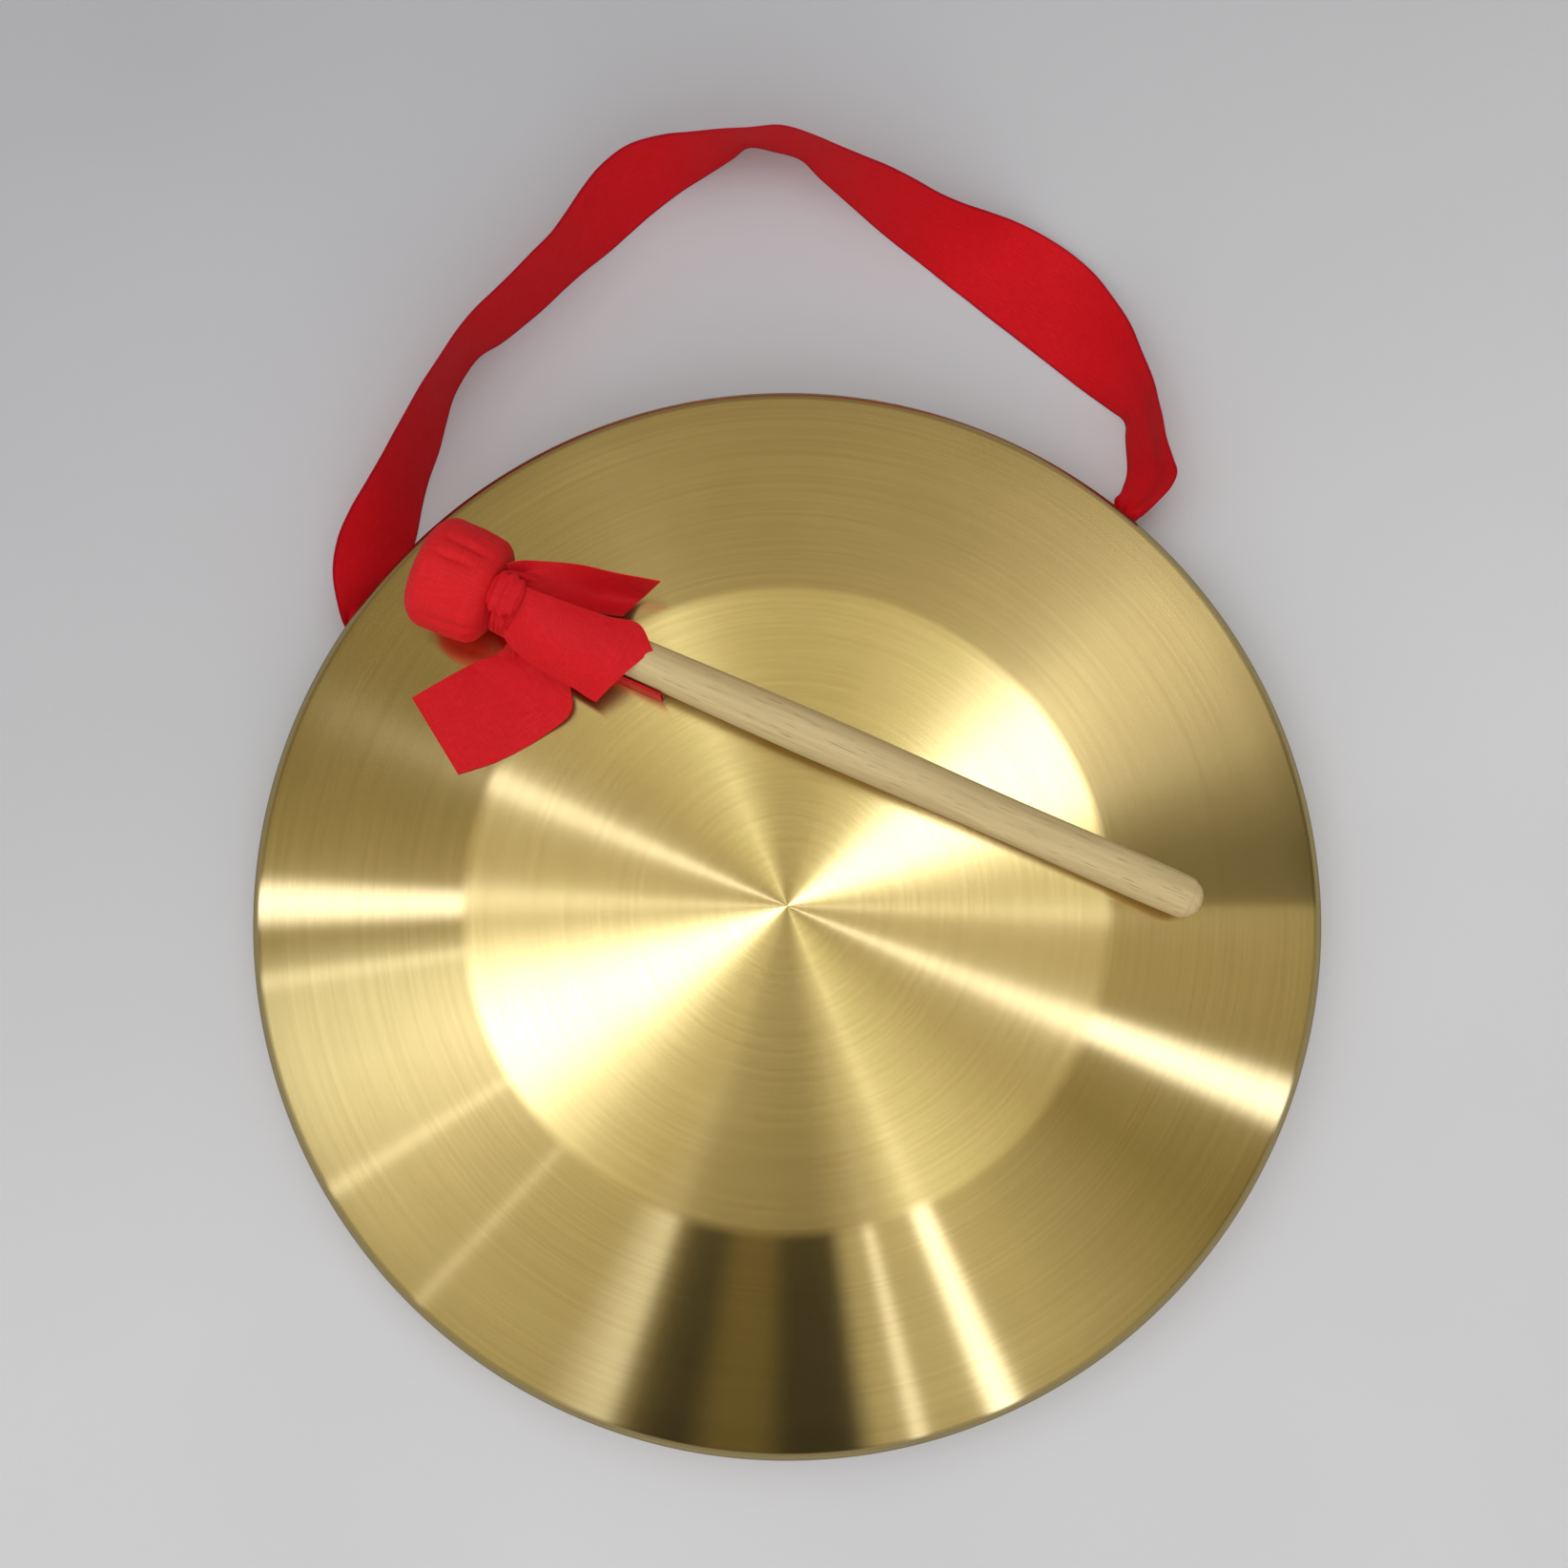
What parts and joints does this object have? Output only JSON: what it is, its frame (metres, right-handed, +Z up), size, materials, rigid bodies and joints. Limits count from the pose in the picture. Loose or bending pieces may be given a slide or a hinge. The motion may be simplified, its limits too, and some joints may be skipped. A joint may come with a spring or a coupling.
{
  "type": "hand gong with beater",
  "caption": "Spun brass hand gong lying face up, with a red ribbon strap through its turned-back rim and a cloth-headed beater resting on its face.",
  "frame": {"origin": "centre of the set's bounding box, on the surface that it lies on", "axes": "+Z up, away from the surface. +Y from the gong's middle towards the strap's loop. +X to the right with the strap at the top."},
  "size_m": [0.28, 0.3596, 0.0558],
  "materials": {
    "brass": "satin, finely brushed in circles about the middle",
    "ribbon": "satin weave with woven edges",
    "head_cloth": "plain cloth, gathered at the neck",
    "wadding": "wound strips of undyed cloth",
    "stick_wood": "smooth bare wood with fine pores"
  },
  "bodies": {
    "gong": {"gong_plate": "brass", "strap_knot_left": "ribbon", "strap_knot_right": "ribbon"},
    "strap": {"strap_ribbon": "ribbon"},
    "beater": {"handle_stick": "stick_wood", "head_wadding": "wadding", "head_cover": "head_cloth", "neck_binding": "ribbon", "bow_knot": "ribbon", "tail_upper": "ribbon", "tail_middle": "ribbon", "tail_lower": "ribbon", "tail_edge": "ribbon"}
  },
  "joints": [
    {"name": "strap_swing", "type": "hinge", "parent": "gong", "child": "strap", "pos_m": [-0.01411, 0.05458, 0.016], "axis": [0.989, 0.1478, 0], "range_deg": [0, 90]},
    {"name": "beater_lift", "type": "slide", "parent": "gong", "child": "beater", "axis": [0, 0, 1], "range_m": [0, 0.13]}
  ]
}
